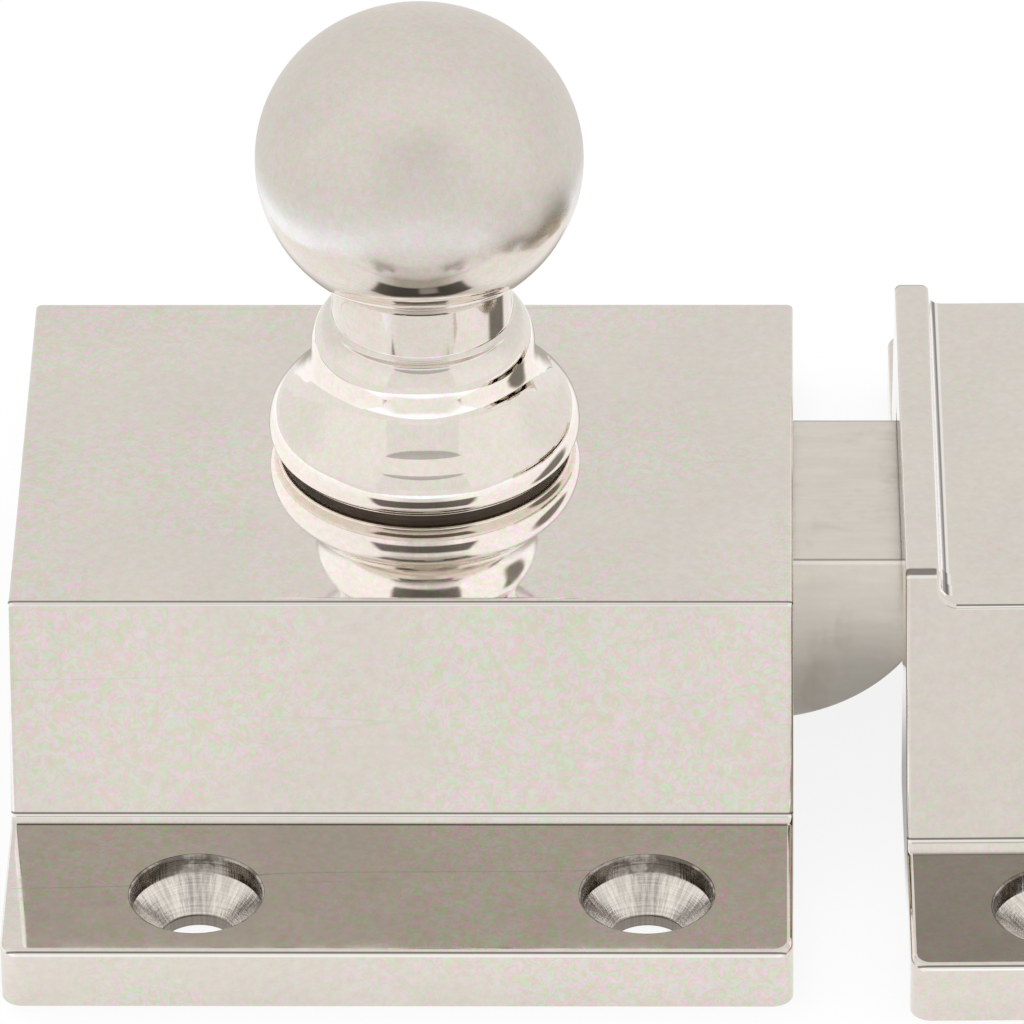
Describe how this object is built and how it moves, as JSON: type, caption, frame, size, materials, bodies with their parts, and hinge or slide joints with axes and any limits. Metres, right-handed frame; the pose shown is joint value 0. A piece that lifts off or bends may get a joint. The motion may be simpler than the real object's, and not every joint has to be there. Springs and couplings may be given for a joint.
{
  "type": "cupboard catch latch",
  "caption": "Surface-mounted cupboard catch latch: ball knob turns a cam that draws a sprung bolt out of its keeper; flanged case and keeper for countersunk screws.",
  "frame": {"origin": "middle of the case's mounting hole pattern, on the mounting face", "axes": "+X from the case to the keeper, along the bolt's throw; +Z out of the door, along the knob's axis; +Y across, away from the first view"},
  "size_m": [0.0681, 0.0661, 0.044],
  "materials": {
    "polished_nickel": "polished nickel plate on cast brass, with a faint film and hairlines",
    "satin_nickel": "dull nickel plate on a cast bolt, slightly stained",
    "washer_nylon": "dark nylon",
    "plain_steel": "turned or stamped steel, lightly oiled",
    "zinc_plate": "bright zinc plate on sheet steel"
  },
  "bodies": {
    "root": {"latch_case": "polished_nickel", "back_plate": "zinc_plate", "back_plate_screw_1": "zinc_plate", "back_plate_screw_2": "zinc_plate", "back_plate_screw_3": "zinc_plate", "back_plate_screw_4": "zinc_plate", "keeper": "polished_nickel", "thrust_washer": "washer_nylon", "bolt_spring": "plain_steel"},
    "knob": {"knob": "polished_nickel", "knob_spindle": "plain_steel", "bolt_cam": "plain_steel", "cam_washer": "zinc_plate", "cam_screw": "zinc_plate"},
    "bolt": {"bolt": "satin_nickel", "spring_guide_pin": "plain_steel"}
  },
  "joints": [
    {"name": "knob_turn", "type": "hinge", "parent": "root", "child": "knob", "pos_m": [-0.0003, 0.0009, 0.016], "axis": [0, 0, 1], "range_deg": [0, 90]},
    {"name": "bolt_slide", "type": "slide", "parent": "root", "child": "bolt", "axis": [-1, 0, 0], "range_m": [0, 0.0086], "stiffness_N_per_m": 300, "springref_m": -0.006, "deforming": ["bolt_spring"]}
  ],
  "couplings": [
    {"joint": "knob_turn", "follows": "bolt_slide", "rad_per_m": 182.65}
  ]
}
